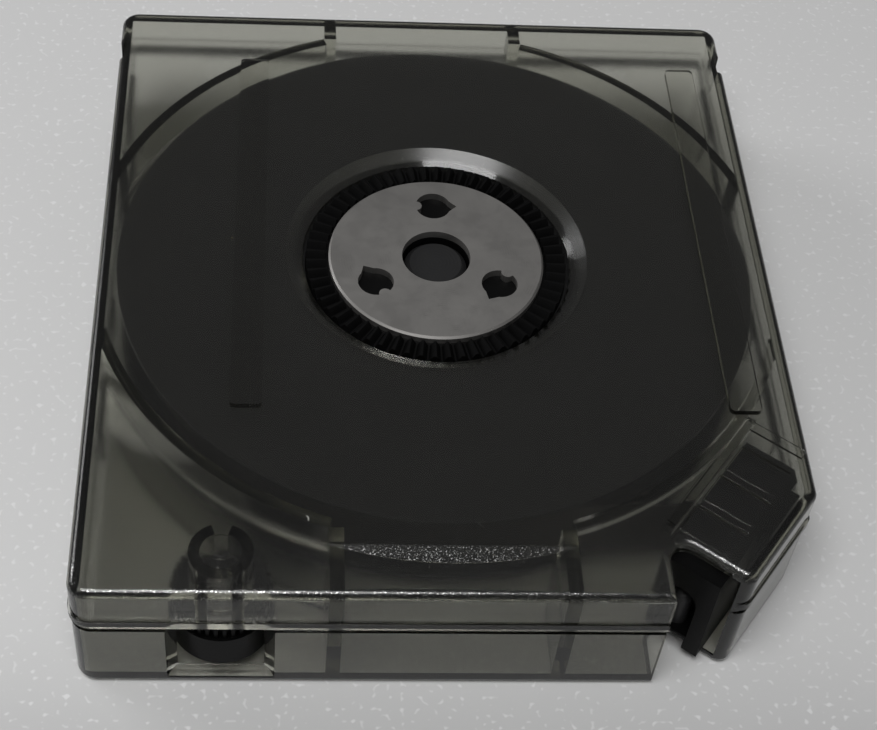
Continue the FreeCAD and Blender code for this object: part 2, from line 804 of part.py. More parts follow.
def side_pads(body, dim):
    """Thickened pads inside the side walls, under the seam."""
    side, _, _ = half_sizes(dim, -dim.wall)
    floor = dim.seam_height - dim.seam_gap - dim.side_pad_height
    pads = new_sketch(body, "pad_lines", at=floor)
    for middle, length in ((dim.rear_pad_place, dim.rear_pad_length),
                           (dim.shoulder_pad_place, dim.shoulder_pad_length),
                           (dim.waist_pad_place, dim.waist_pad_length),
                           (dim.front_pad_place, dim.front_pad_length)):
        y0, y1 = middle - length / 2, middle + length / 2
        rectangle(pads, side - dim.side_pad_depth, side + dim.wall / 2, y0, y1)
        rectangle(pads, -side - dim.wall / 2, -side + dim.side_pad_depth, y0, y1)
    pad(body, "side_pads", pads, dim.side_pad_height)


def bay_back_wall(body, dim):
    """The wall behind the leader block, which backs its latch spring."""
    back = new_sketch(body, "bay_back_lines", at=dim.label_plate, turn=dim.bay_angle)
    near = -(dim.bay_reach - dim.bay_panel_width)
    rectangle(back, dim.bay_back, dim.bay_back + dim.bay_back_wall, near, -dim.bay_panel_inner)
    pad(body, "bay_back", back, dim.seam_height - dim.seam_gap - dim.label_plate)


# ---- the reel ----

def reel_levels(dim):
    """Heights on the reel: label flange top, hub flange bottom and top, web bottom."""
    lower = dim.label_flange_bottom + dim.flange_thickness
    upper = lower + dim.flange_spacing
    return lower, upper, upper + dim.flange_thickness, dim.web_top - dim.web_thickness


def reel_hub(doc, dim):
    """The hub with its label-side flange, toothed rim and brake ring in one moulding."""
    body = new_body(doc, "reel_hub", y=dim.reel_place)
    lower, shoulder, _, web = reel_levels(dim)
    bore = dim.button_radius + dim.button_gap
    inner = dim.hub_radius - dim.hub_wall
    rim_top = dim.web_top + dim.tooth_depth
    ring_inner = dim.brake_radius - dim.brake_ring
    ring_bottom = web - dim.brake_ring_drop
    revolve(body, "hub", [
        (bore, web), (bore, dim.web_top), (dim.teeth_inner_radius, dim.web_top),
        (dim.teeth_inner_radius, rim_top), (dim.teeth_outer_radius, rim_top),
        (dim.teeth_outer_radius, shoulder), (dim.hub_radius, shoulder), (dim.hub_radius, lower),
        (dim.flange_radius, lower), (dim.flange_radius, dim.label_flange_bottom),
        (inner, dim.label_flange_bottom), (inner, web), (dim.brake_radius, web),
        (dim.brake_radius, ring_bottom), (ring_inner, ring_bottom), (ring_inner, web)])
    slot = new_sketch(body, "tooth_line", "YZ_Plane", at=dim.teeth_inner_radius - dim.tooth_root)
    root = rim_top - dim.tooth_depth
    polygon(slot, [(-dim.tooth_mouth / 2, rim_top), (-dim.tooth_root / 2, root),
                   (dim.tooth_root / 2, root), (dim.tooth_mouth / 2, rim_top)])
    run = dim.teeth_outer_radius - dim.teeth_inner_radius + dim.tooth_root * 2
    first = pocket(body, "tooth_slot", slot, run, reverse=True)
    polar(body, "tooth_slots", first, dim.teeth_count)
    notch = new_sketch(body, "brake_slot_line", at=ring_bottom)
    rectangle(notch, ring_inner - dim.cutter_margin, dim.brake_radius + dim.cutter_margin,
              -dim.brake_tooth_slot / 2, dim.brake_tooth_slot / 2)
    first = pocket(body, "brake_slot", notch, dim.brake_tooth_depth, reverse=True)
    polar(body, "brake_slots", first, dim.brake_teeth)
    return body


def hub_side_flange(doc, dim):
    """The flange welded on the hub's shoulder, seen dark through the case."""
    body = new_body(doc, "hub_side_flange", y=dim.reel_place)
    _, bottom, top, _ = reel_levels(dim)
    inner = dim.teeth_outer_radius + dim.seam_gap
    edge = dim.flange_thickness / 2
    revolve(body, "flange", [
        (inner, bottom), (dim.flange_radius - edge, bottom), (dim.flange_radius, bottom + edge),
        (dim.flange_radius, top), (inner, top)])
    return body


def drive_insert(doc, dim):
    """The steel disc that a drive's magnet pulls on, with three keyed holes."""
    body = new_body(doc, "drive_insert", y=dim.reel_place)
    top = dim.web_top + dim.insert_thickness
    edge = dim.insert_thickness / 4
    revolve(body, "disc", [
        (dim.insert_bore, dim.web_top), (dim.insert_radius, dim.web_top),
        (dim.insert_radius, top - edge), (dim.insert_radius - edge, top), (dim.insert_bore, top)])
    place, radius = dim.insert_hole_place, dim.insert_hole_radius
    hole = circle(new_sketch(body, "hole_circle", at=top), 0, place, radius)
    first = pocket(body, "hole", hole, dim.insert_thickness)
    polar(body, "holes", first, size(3))
    tip = new_sketch(body, "tip_line", at=top)
    polygon(tip, [(dim.insert_tip_half, place + dim.insert_tip_spread),
                  (dim.insert_tip_half, place - dim.insert_tip_spread),
                  (dim.insert_tip_reach, place)])
    first = pocket(body, "tip", tip, dim.insert_thickness)
    polar(body, "tips", first, size(3))
    tab = circle(new_sketch(body, "tab_circle", at=dim.web_top), -radius, place,
                 dim.insert_tab_radius)
    first = pad(body, "tab", tab, dim.insert_thickness)
    polar(body, "tabs", first, size(3))
    return body


def tape_pack(doc, dim):
    """The wound tape, one solid ring on the hub."""
    body = new_body(doc, "tape_pack", y=dim.reel_place)
    lower, upper, _, _ = reel_levels(dim)
    slack = (dim.flange_spacing - dim.tape_width) / 2
    inner = dim.hub_radius + dim.seam_gap
    revolve(body, "winding", [
        (inner, lower + slack), (dim.pack_radius, lower + slack),
        (dim.pack_radius, upper - slack), (inner, upper - slack)])
    return body


# ---- the brake ----

def brake_levels(dim):
    """Heights on the brake: the tooth tips, the disc top and the disc bottom."""
    _, _, _, web = reel_levels(dim)
    tips = web - dim.brake_ring_drop - dim.brake_gap
    face = tips - dim.brake_tooth_depth
    return tips, face, face - dim.brake_disc


def brake_button(doc, dim):
    """The button in the hub's bore, with the toothed disc that locks the reel."""
    body = new_body(doc, "brake_button", y=dim.reel_place)
    tips, face, under = brake_levels(dim)
    top = dim.web_top + dim.insert_thickness - dim.button_recess
    ring = dim.brake_radius - dim.brake_ring
    edge = dim.button_radius / 6
    foot = under - dim.sleeve_length
    revolve(body, "stem", [
        (0, foot), (dim.sleeve_radius, foot), (dim.sleeve_radius, under),
        (dim.brake_radius, under), (dim.brake_radius, tips), (ring, tips), (ring, face),
        (dim.button_radius, face), (dim.button_radius, top - edge),
        (dim.button_radius - edge, top), (0, top)])
    slot = new_sketch(body, "slot_line", at=tips)
    rectangle(slot, ring - dim.cutter_margin, dim.brake_radius + dim.cutter_margin,
              -dim.brake_tooth_slot / 2, dim.brake_tooth_slot / 2)
    first = pocket(body, "slot", slot, dim.brake_tooth_depth)
    polar(body, "slots", first, dim.brake_teeth)
    half = dim.post_width / 2 + dim.post_gap
    bore = rectangle(new_sketch(body, "post_bore_line", at=foot), -half, half, -half, half)
    post_top = dim.label_plate + dim.post_height
    rise = post_top + dim.brake_travel + dim.brake_gap - foot
    pocket(body, "post_bore", bore, rise, reverse=True)
    return body


def brake_spring(doc, dim):
    """The coil spring between the label plate and the brake disc."""
    body = new_body(doc, "brake_spring", y=dim.reel_place)
    _, _, under = brake_levels(dim)
    wire = dim.spring_wire / 2
    floor = dim.label_plate + wire + dim.seam_gap
    sketch = circle(new_sketch(body, "wire_section", "XZ_Plane"), dim.spring_radius, floor, wire)
    coil = body.newObject("PartDesign::AdditiveHelix", "coil")
    coil.Profile = sketch
    coil.ReferenceAxis = (sketch, ["V_Axis"])
    coil.Mode = "height-turns-angle"
    bind(coil, "Height", under - wire - dim.seam_gap - floor)
    bind(coil, "Turns", dim.spring_turns)
    settle(body, coil)
    return body


# ---- the write selector ----

def selector_wheel(doc, dim):
    """The serrated wheel in the front window, with a flat on its far side."""
    body = new_body(doc, "selector_wheel", x=dim.selector_place, y=dim.selector_depth)
    floor = dim.window_sill + dim.selector_gap
    top = floor + dim.selector_height
    foot = dim.selector_foot
    band = dim.selector_radius - dim.selector_shoulder
    shoulder = top - dim.selector_band
    revolve(body, "wheel", [
        (0, dim.label_plate + dim.axle_gap), (dim.selector_axle, dim.label_plate + dim.axle_gap),
        (dim.selector_axle, floor), (dim.selector_radius - foot, floor),
        (dim.selector_radius, floor + foot), (dim.selector_radius, shoulder),
        (band, shoulder), (band, top), (dim.selector_axle, top),
        (dim.selector_axle, top + dim.selector_band), (0, top + dim.selector_band)])
    slot = new_sketch(body, "serration_line", at=top)
    rectangle(slot, band - dim.selector_notch, band + dim.selector_notch,
              -dim.selector_notch / 2, dim.selector_notch / 2)
    first = pocket(body, "serration", slot, dim.selector_band)
    polar(body, "serrations", first, dim.selector_notches)
    reach = dim.selector_radius
    flat = new_sketch(body, "flat_line", at=top)
    rectangle(flat, -reach, reach, dim.selector_flat, reach * 2)
    pocket(body, "flat", flat, dim.selector_height)
    return body


# ---- the leader block ----

def block_floor(dim):
    return dim.label_plate + dim.block_gap


def leader_block(doc, dim):
    """The black block at the free end of the tape, lying along the corner bay."""
    body = new_body(doc, "leader_block", turn=dim.bay_angle)
    floor = block_floor(dim)
    front, back = dim.block_front, dim.block_front + dim.block_length
    near, far = -(dim.block_inner + dim.block_width), -dim.block_inner
    plan = new_sketch(body, "block_plan", at=floor)
    cut = dim.block_corner
    polygon(plan, [(front, near), (back - cut, near), (back, near + cut / tangent(dim.bay_angle)),
                   (back, far), (front, far)])
    pad(body, "block", plan, dim.block_height)
    heel_end = back - dim.heel_back
    heel = rectangle(new_sketch(body, "heel_plan", at=floor), heel_end - dim.heel_length,
                     heel_end, near - dim.heel_depth, near + dim.heel_depth)
    pad(body, "heel", heel, dim.block_height)
    left = far - dim.cavity_place
    right = left - dim.cavity_width
    arch = floor + dim.cavity_floor + dim.cavity_height - dim.cavity_width / 2
    mouth = new_sketch(body, "mouth_lines", "YZ_Plane", at=front)
    rectangle(mouth, right, left, floor + dim.cavity_floor, arch)
    pocket(body, "mouth", mouth, dim.cavity_depth, reverse=True)
    crown = new_sketch(body, "crown_circle", "YZ_Plane", at=front)
    circle(crown, (left + right) / 2, arch, dim.cavity_width / 2)
    pocket(body, "crown", crown, dim.cavity_depth, reverse=True)
    relief = new_sketch(body, "foot_lines", at=floor)
    rectangle(relief, front - dim.foot_width, front + dim.foot_length,
              near + dim.foot_width, far + dim.foot_width)
    pocket(body, "foot", relief, dim.foot_height, reverse=True)
    return body


def leader_pin(doc, dim):
    """The round-ended pin that stands in the block's mouth."""
    body = new_body(doc, "leader_pin", turn=dim.bay_angle)
    across = -(dim.block_inner + dim.cavity_place + dim.cavity_width / 2)
    along = dim.block_front + dim.cavity_depth - dim.pin_radius - dim.seam_gap
    floor = block_floor(dim) + dim.cavity_floor
    plan = circle(new_sketch(body, "pin_plan", at=floor), along, across, dim.pin_radius)
    pad(body, "pin", plan, dim.pin_height)
    dress(body, "Fillet", "pin_dome", dim.pin_dome, level_at(floor + dim.pin_height))
    return body


def leader_strip(doc, dim):
    """The free end of the tape, from the winding to the leader block."""
    reach = dim.pack_radius.number + dim.strip_gap.number
    centre = Vector(0, dim.reel_place.number, 0)
    along = dim.block_front + dim.block_length / 2
    held = Vector(*(one.number for one in bay_point(dim, along, dim.block_inner)), 0)
    arm = held - centre
    turn = math.atan2(arm.y, arm.x) - math.acos(reach / arm.Length)
    leaves = centre + Vector(math.cos(turn), math.sin(turn), 0) * reach
    way = (held - leaves).normalize()
    thick = Vector(way.y, -way.x, 0) * dim.tape_thickness.number
    held = held - way * dim.strip_gap.number
    corners = [leaves, held, held + thick, leaves + thick]
    lower, _, _, _ = reel_levels(dim)
    floor = lower.number + dim.strip_gap.number
    lifted = [corner + Vector(0, 0, floor) for corner in corners + corners[:1]]
    face = Part.Face(Part.makePolygon(lifted))
    strip = doc.addObject("Part::Feature", "leader_strip")
    strip.Label = "leader_strip"
    height = dim.flange_spacing.number - 2 * dim.strip_gap.number
    strip.Shape = face.extrude(Vector(0, 0, height))
    strip.Placement = Placement()
    return strip


def latch_spring(doc, dim):
    """The bowed leaf that holds the leader block in its bay."""
    body = new_body(doc, "latch_spring", turn=dim.bay_angle)
    back = dim.bay_back - dim.seam_gap
    middle = -(dim.bay_panel_inner + dim.bay_reach - dim.bay_panel_width) / 2
    half = dim.latch_span / 2
    thick = dim.latch_thickness
    plan = new_sketch(body, "leaf_plan", at=dim.latch_floor)
    polygon(plan, [
        (back, middle - half), (back - dim.latch_bow, middle), (back, middle + half),
        (back - thick, middle + half), (back - dim.latch_bow - thick, middle),
        (back - thick, middle - half)])
    pad(body, "leaf", plan, dim.latch_height)
    return body


PIECES = (
    hub_side_shell, label_side_shell, reel_hub, hub_side_flange, drive_insert, tape_pack,
    brake_button, brake_spring, selector_wheel, leader_block, leader_pin, leader_strip,
    latch_spring,
)


def check(doc, pieces):
    """Stops if an object failed or a piece is empty or broken."""
    for thing in doc.Objects:
        if "Invalid" in thing.State or "Error" in thing.State:
            raise RuntimeError(f"{thing.Label} is {thing.State}")
    for piece in pieces:
        if piece.Shape.isNull() or not piece.Shape.isValid():
            raise RuntimeError(f"{piece.Label} has no valid shape")


def main():
    doc = FreeCAD.newDocument("tape_cartridge")
    write_sheet(doc, SIZES)
    dim = Sizes(SIZES)
    pieces = [make(doc, dim) for make in PIECES]
    doc.recompute()
    check(doc, pieces)
    os.makedirs("parts", exist_ok=True)
    for piece in pieces:
        piece.Shape.exportStep(f"parts/{piece.Label}.step")
        print(f"{piece.Label}: {piece.Shape.Volume:.1f} mm3, {len(piece.Shape.Solids)} solid")


main()
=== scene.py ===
# %% [markdown]
# # A data tape cartridge in a smoke-clear case
#
# The cartridge's solids come from the engineering model, already at their true size and place.
# This lesson gives them their finishes: the smoke-clear mouldings of the case, the black reel
# behind them, the steel drive insert. It also adds the fine marks that only show close up.
# Every length is in metres. X runs along the front, Y to the rear, Z out of the hub face.

import math

import bpy
from mathutils import Matrix, Vector


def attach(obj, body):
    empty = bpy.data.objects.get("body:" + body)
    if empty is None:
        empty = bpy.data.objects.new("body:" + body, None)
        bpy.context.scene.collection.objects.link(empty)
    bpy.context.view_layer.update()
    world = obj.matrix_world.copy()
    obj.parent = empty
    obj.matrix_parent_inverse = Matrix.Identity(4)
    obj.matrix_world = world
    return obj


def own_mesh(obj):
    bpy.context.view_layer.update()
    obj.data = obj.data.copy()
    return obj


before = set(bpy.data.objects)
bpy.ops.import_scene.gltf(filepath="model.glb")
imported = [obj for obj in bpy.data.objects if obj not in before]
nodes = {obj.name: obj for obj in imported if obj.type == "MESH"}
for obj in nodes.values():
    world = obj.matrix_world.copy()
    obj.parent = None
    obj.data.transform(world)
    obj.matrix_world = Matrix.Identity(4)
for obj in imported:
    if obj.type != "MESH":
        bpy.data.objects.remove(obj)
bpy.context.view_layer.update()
print("nodes:", ", ".join(sorted(nodes)))

# %% [markdown]
# ## Shader arithmetic
#
# A finish is a small calculation that runs at every point of a surface: how rough, how dark,
# how dented. Written as nodes, such a calculation is hard to read. Signal wraps one socket, so
# that `1 - wear * 0.3` builds the nodes by itself. Everything that isn't plain arithmetic goes
# through Finish.node, which takes a node's type, its settings and its inputs.

# %% Signals and finishes
class Signal:
    """One output of a shader node, used in arithmetic like a number."""

    def __init__(self, finish, socket):
        self.finish = finish
        self.socket = socket

    def math(self, operation, *inputs, clamp=False):
        settings = {"operation": operation, "use_clamp": clamp}
        return self.finish.node("ShaderNodeMath", settings, dict(enumerate(inputs)))

    def __add__(self, other):
        return self.math("ADD", self, other)

    def __sub__(self, other):
        return self.math("SUBTRACT", self, other)

    def __mul__(self, other):
        return self.math("MULTIPLY", self, other)

    def __pow__(self, other):
        return self.math("POWER", self, other)

    def __radd__(self, other):
        return self.math("ADD", other, self)

    def __rsub__(self, other):
        return self.math("SUBTRACT", other, self)

    def __rmul__(self, other):
        return self.math("MULTIPLY", other, self)

    def clamped(self):
        return self.math("ADD", self, 0.0, clamp=True)

    def sine(self):
        return self.math("SINE", self)

    def ramp(self, low, high):
        """0 below low, 1 above high, smooth between them."""
        settings = {"interpolation_type": "SMOOTHSTEP"}
        return self.finish.node("ShaderNodeMapRange", settings,
                                {"Value": self, "From Min": low, "From Max": high})


class Finish:
    """A material that is put together from nodes."""

    def __init__(self, name, **constants):
        self.material = bpy.data.materials.new(name)
        self.material.use_nodes = True
        self.tree = self.material.node_tree
        self.shader = self.tree.nodes["Principled BSDF"]
        self.output = self.tree.nodes["Material Output"]
        for socket, value in constants.items():
            self.set(socket.replace("_", " "), value)

    def set(self, socket, value):
        """Gives one of the shader's sockets a number, a colour or a Signal."""
        self.connect(self.shader.inputs[socket], value)

    def connect(self, socket, value):
        if isinstance(value, Signal):
            self.tree.links.new(value.socket, socket)
        elif isinstance(value, tuple) and len(value) == 3 and len(socket.default_value) == 4:
            socket.default_value = (*value, 1.0)
        else:
            socket.default_value = value

    def node(self, kind, settings=None, inputs=None, output=0):
        """Adds a node: settings first, then the values or Signals of its sockets."""
        made = self.tree.nodes.new(kind)
        for name, value in (settings or {}).items():
            setattr(made, name, value)
        for socket, value in (inputs or {}).items():
            self.connect(made.inputs[socket], value)
        return Signal(self, made.outputs[output])

    def place(self):
        """The point on the piece, in the piece's own metres."""
        return self.node("ShaderNodeTexCoord", output="Object")

    def axes(self):
        """The point's x, y and z as three Signals."""
        split = self.tree.nodes.new("ShaderNodeSeparateXYZ")
        self.tree.links.new(self.place().socket, split.inputs[0])
        return [Signal(self, socket) for socket in split.outputs]

    def noise(self, size, detail=2.0, roughness=0.5, stretch=None):
        """Soft random shading with features about size metres across."""
        at = self.place()
        if stretch:
            at = self.node("ShaderNodeVectorMath", {"operation": "MULTIPLY"},
                           {0: at, 1: stretch})
        return self.node("ShaderNodeTexNoise", {"normalize": True},
                         {"Vector": at, "Scale": 1.0 / size, "Detail": detail,
                          "Roughness": roughness})

    def mix(self, amount, first, second):
        """The first colour where amount is 0, the second where it is 1."""
        made = self.tree.nodes.new("ShaderNodeMix")
        made.data_type = "RGBA"
        made.clamp_factor = True
        for name, value in (("Factor_Float", amount), ("A_Color", first), ("B_Color", second)):
            socket = next(one for one in made.inputs if one.identifier == name)
            self.connect(socket, value)
        socket = next(one for one in made.outputs if one.identifier == "Result_Color")
        return Signal(self, socket)

    def bump(self, height, depth, strength=1.0):
        """Dents the surface by height times depth metres."""
        relief = self.node("ShaderNodeBump", {}, {"Height": height, "Distance": depth,
                                                  "Strength": strength})
        self.set("Normal", relief)

    def put_on(self, *pieces):
        for piece in pieces:
            piece.data.materials.clear()
            piece.data.materials.append(self.material)


print("Signal and Finish are ready")

# %% [markdown]
# ## The camera
#
# The cartridge is seen from above its front side, a little to the left, as by someone who
# stands at the bench. A camera is placed by where it is and by three turns. Worked out as
# right, down and forward directions, they give its matrix with no guessing.

# %% Place the camera
EYE = Vector((-0.026134, -0.193603, 0.231219))
YAW, PITCH, ROLL = math.radians(5.668), math.radians(50.039), math.radians(-5.238)

forward = Vector((math.sin(YAW) * math.cos(PITCH), math.cos(YAW) * math.cos(PITCH),
                  -math.sin(PITCH)))
level = Vector((math.cos(YAW), -math.sin(YAW), 0.0))
drop = forward.cross(level)
right = level * math.cos(ROLL) + drop * math.sin(ROLL)
down = drop * math.cos(ROLL) - level * math.sin(ROLL)

lens = bpy.data.cameras.new("bench_view")
lens.sensor_width = 36.0
lens.lens = 72.66
lens.shift_x = 0.06
lens.clip_start = 0.01
camera = bpy.data.objects.new("bench_view", lens)
camera.matrix_world = Matrix((
    (right.x, -down.x, -forward.x, EYE.x),
    (right.y, -down.y, -forward.y, EYE.y),
    (right.z, -down.z, -forward.z, EYE.z),
    (0.0, 0.0, 0.0, 1.0),
))
bpy.context.scene.collection.objects.link(camera)
bpy.context.scene.camera = camera
print("camera at", [round(value, 3) for value in EYE], "lens", lens.lens, "mm")

# %% [markdown]
# ## Light and floor
#
# Clear plastic shows what is round it, so the room matters as much as the lamps. A pale foam
# sheet as the floor and a dim even room keep the mouldings dark and readable. One large soft
# lamp hangs above the front side, a little to the left, and a weaker one stands low at the
# rear on the left. The lamps don't dim the foam towards the front: painted shade darkens its
# colour there, which also gives the front walls something darker to mirror.

# %% Floor, room and lamps
def soft_lamp(name, place, aim, width, height, power):
    """A rectangular lamp that faces the aim point."""
    data = bpy.data.lights.new(name, "AREA")
    data.shape = "RECTANGLE"
    data.size, data.size_y = width, height
    data.energy = power
    lamp = bpy.data.objects.new(name, data)
    lamp.location = place
    lamp.rotation_euler = (Vector(aim) - Vector(place)).to_track_quat("-Z", "Y").to_euler()
    bpy.context.scene.collection.objects.link(lamp)
    return lamp


soft_lamp("overhead", (-0.15, -0.30, 0.85), (0.0, 0.0, 0.0), 0.5, 0.35, 5.0)
soft_lamp("far_left", (-0.9, 0.5, 0.5), (0.0, 0.0, 0.0), 0.6, 0.4, 3.0)

room = bpy.data.worlds.new("room")
room.use_nodes = True
room.node_tree.nodes["Background"].inputs["Color"].default_value = (0.16, 0.16, 0.16, 1.0)
bpy.context.scene.world = room

floor_mesh = bpy.data.meshes.new("floor")
side = 3.0
floor_mesh.from_pydata([(-side, -side, 0.0), (side, -side, 0.0), (side, side, 0.0),
                        (-side, side, 0.0)], [], [(0, 1, 2, 3)])
floor = bpy.data.objects.new("floor", floor_mesh)
floor.location.z = -0.00005
bpy.context.scene.collection.objects.link(floor)
pale = Finish("pale_foam", Roughness=0.6)
_, y, _ = pale.axes()
# Painted shade: the foam's colour darkens towards the front.
PAINTED_SHADE_END, PAINTED_SHADE_START = -0.11, -0.045
painted_front_shade = 1.0 - y.ramp(PAINTED_SHADE_END, PAINTED_SHADE_START)
# Painted highlight: the foam's glints are pale flecks mixed into its colour.
glints = pale.noise(0.0010, detail=0.0).ramp(0.62, 0.84)
sheet = pale.mix(painted_front_shade, (0.71, 0.71, 0.71), (0.36, 0.36, 0.36))
pale.set("Base Color", pale.mix(glints * 0.6, sheet, (0.90, 0.90, 0.91)))
pale.put_on(floor)
bpy.context.scene.view_settings.view_transform = "Standard"
print("floor, room and two lamps")

# %% [markdown]
# ## The smoke-clear case
#
# The case is moulded in clear plastic with a grey-olive dye. Light loses a share with every
# millimetre that it crosses, so a wall seen edge-on looks far darker than a flat plate. A
# volume inside the solid does that by itself, where a tinted surface would not.
#
# The outer face has a fine sparkling grain, and so does its rounded rim. The upright walls and
# the inside are smooth. One mask, worked out
# from the height, keeps the two apart. The bead at the seam and the window's bevel are in
# between, a little matt. Each glint of the grain is a tiny facet that mirrors the room. A bump
# that fine would bend the view through the plate as well, so the glints are made as flecks
# that mirror, most of them near the front edge and on the crescent, where they show most.
#
# The front walls, the slanting wall and the window's bevel are tinted darker than the rest. That
# is painted shade, put on to come near the real case's look from this side; the lamps don't cast
# it.

# %% Smoke plastic
REEL_Y = 0.0035
GRAIN_FLOOR = 0.0222
BEVEL_EDGE = 0.0247
SEAM_FOOT, SEAM_TOP = 0.0141, 0.0154
BEAD_TOP = 0.0168
FRONT_WALL = -0.0620
CHAMFER_TURN = math.radians(52.3)
CHAMFER_WALL = 0.0692
CRESCENT_CHORD = -0.0535
CRESCENT_RADIUS = 0.0598
NEAR_EDGE_START, NEAR_EDGE_FULL = -0.0490, -0.0612
EDGE = 0.0001


def distance(x, y, at_x, at_y):
    """How far the point is from an upright line at at_x, at_y."""
    across, along = x - at_x, y - at_y
    return (across * across + along * along) ** 0.5


def chamfer_wall(x, y):
    """1 on the slanting wall at the leader block's corner."""
    outwards = x * math.sin(CHAMFER_TURN) - y * math.cos(CHAMFER_TURN)
    return outwards.ramp(CHAMFER_WALL, CHAMFER_WALL + EDGE)


def smoke(name):
    """Smoke-clear plastic with a grained face; returns the finish, its colour with painted
    shade, and its height.
    """
    finish = Finish(name, IOR=1.5, Transmission_Weight=1.0, Specular_IOR_Level=0.32)
    x, y, up = finish.axes()
    face = up.ramp(GRAIN_FLOOR, GRAIN_FLOOR + 0.0005)
    bevel = 1.0 - distance(x, y, 0.0, REEL_Y).ramp(BEVEL_EDGE - 0.0004, BEVEL_EDGE)
    bead = (up.ramp(SEAM_TOP - 0.0001, SEAM_TOP)
            * (1.0 - up.ramp(BEAD_TOP, BEAD_TOP + 0.0001)))
    rib_top = up.ramp(0.0243, 0.0244)
    crescent = ((1.0 - y.ramp(CRESCENT_CHORD - EDGE, CRESCENT_CHORD))
                * (1.0 - distance(x, y, 0.0, REEL_Y).ramp(CRESCENT_RADIUS - EDGE,
                                                          CRESCENT_RADIUS)))
    near_edge = 1.0 - y.ramp(NEAR_EDGE_FULL, NEAR_EDGE_START)
    grain = finish.noise(0.0002, detail=0.0)
    glint = grain.ramp(0.56, 0.84) * face * (near_edge * 0.9 + crescent + 0.03)
    handling = finish.noise(0.012, detail=1.0)
    matt = face * (1.0 - rib_top * 0.5) * 0.09 + bevel * 0.03 + bead * 0.14
    finish.set("Roughness", 0.04 + matt + grain * face * 0.10 + handling * 0.05)
    finish.set("Metallic", (glint * (1.0 - bevel) * 0.5).clamped())
    absorb = finish.node("ShaderNodeVolumeAbsorption", {},
                         {"Color": (0.44, 0.44, 0.34), "Density": 190.0})
    finish.tree.links.new(absorb.socket, finish.output.inputs["Volume"])
    # Painted shade: the front walls, the slanting wall and the bevel get a darker colour.
    front_wall = (1.0 - y.ramp(FRONT_WALL - EDGE, FRONT_WALL)) * (1.0 - face)
    shade = (front_wall * 0.42 + chamfer_wall(x, y) * (1.0 - face) * 0.75
             + bevel * 0.5).clamped()
    colour = finish.mix(shade, (0.97, 0.97, 0.95), (0.45, 0.44, 0.38))
    return finish, colour, up


hub_half, colour, _ = smoke("smoke_hub_half")
hub_half.set("Base Color", colour)
hub_half.put_on(nodes["hub_side_shell"])
print("smoke plastic on the hub half")

# %% [markdown]
# ## The lap under the seam
#
# The two halves meet in a lap joint, which shows as a dark band right round the case. The step
# in the solid doesn't turn that dark by itself here, so the same band of the deeper half is
# coloured dark: painted shade in the joint. It is paint on the outside and doesn't change with
# the light.

# %% The deeper half
label_half, colour, up = smoke("smoke_label_half")
# Painted shade: the lap band's colour is made nearly black.
lap = up.ramp(SEAM_FOOT - 0.0001, SEAM_FOOT) * (1.0 - up.ramp(SEAM_TOP, SEAM_TOP + 0.0001))
label_half.set("Base Color", label_half.mix(lap * 0.93, colour, (0.01, 0.01, 0.01)))
label_half.put_on(nodes["label_side_shell"])
print("smoke plastic on the label half, with its dark lap")

# %% [markdown]
# ## The black mouldings
#
# The reel, the selector wheel and the leader block are black plastic. Black plastic is never
# one flat black: the mould's marks and the flow of the plastic change how it shines. So the
# colour stays nearly still, and the roughness and a shallow bump carry the variation. The
# reel's marks run round its axis, as on any round tool that was turned on a lathe.

# %% Black plastic
def black_plastic(name, shade, gloss, roughness):
    """A black moulding with flow marks and fine pores."""
    finish = Finish(name, Specular_IOR_Level=gloss)
    flow = finish.noise(0.006, detail=3.0)
    pores = finish.noise(0.0003, detail=1.0)
    finish.set("Base Color", finish.mix(flow, (shade, shade, shade * 1.04),
                                        (shade * 1.5, shade * 1.5, shade * 1.56)))
    finish.set("Roughness", roughness + flow * 0.12 + pores * 0.06)
    return finish, pores


def turned_rings(finish, pitch):
    """Fine rings round the reel's axis, as a height from 0 to 1."""
    x, y, _ = finish.axes()
    waver = finish.noise(0.01) * pitch
    return ((distance(x, y, 0.0, REEL_Y) + waver) * (2 * math.pi / pitch)).sine() * 0.5 + 0.5


flange_black, pores = black_plastic("flange_black", 0.006, 0.35, 0.36)
flange_black.bump(turned_rings(flange_black, 0.0007) * 0.4 + pores, 0.00001)
flange_black.put_on(nodes["hub_side_flange"])

hub_black, pores = black_plastic("hub_black", 0.0018, 0.13, 0.34)
hub_black.bump(turned_rings(hub_black, 0.0009) * 0.3 + pores, 0.00001)
hub_black.put_on(nodes["reel_hub"])

block_black, pores = black_plastic("block_black", 0.0015, 0.10, 0.32)
block_black.bump(pores, 0.00001)
block_black.put_on(nodes["leader_block"])

wheel_black, pores = black_plastic("wheel_black", 0.0018, 0.10, 0.34)
wheel_black.bump(pores, 0.00001)
wheel_black.put_on(nodes["selector_wheel"])
print("black plastic on the reel, the block and the wheel")

# %% [markdown]
# ## The brake and the pin
#
# The brake's button and the leader pin are a dark grey rather than black. They are made as the
# black mouldings are, one shade lighter and a little duller.

# %% The grey brake and the pin
brake_grey, pores = black_plastic("brake_grey", 0.012, 0.3, 0.42)
brake_grey.bump(turned_rings(brake_grey, 0.0006) + pores, 0.000012)
brake_grey.put_on(nodes["brake_button"])
pin_grey, pores = black_plastic("pin_grey", 0.02, 0.3, 0.4)
pin_grey.bump(pores, 0.00001)
pin_grey.put_on(nodes["leader_pin"])
print("dark grey on the brake and the pin")

# %% [markdown]
# ## The tape
#
# Wound tape shows only its edge, thousands of layers thick. Each layer lies a hair higher or
# lower than the next, which gives a wound pack its fine rings and broad dull bands. The rings
# here are height alone, and the bands are a slow change of roughness.

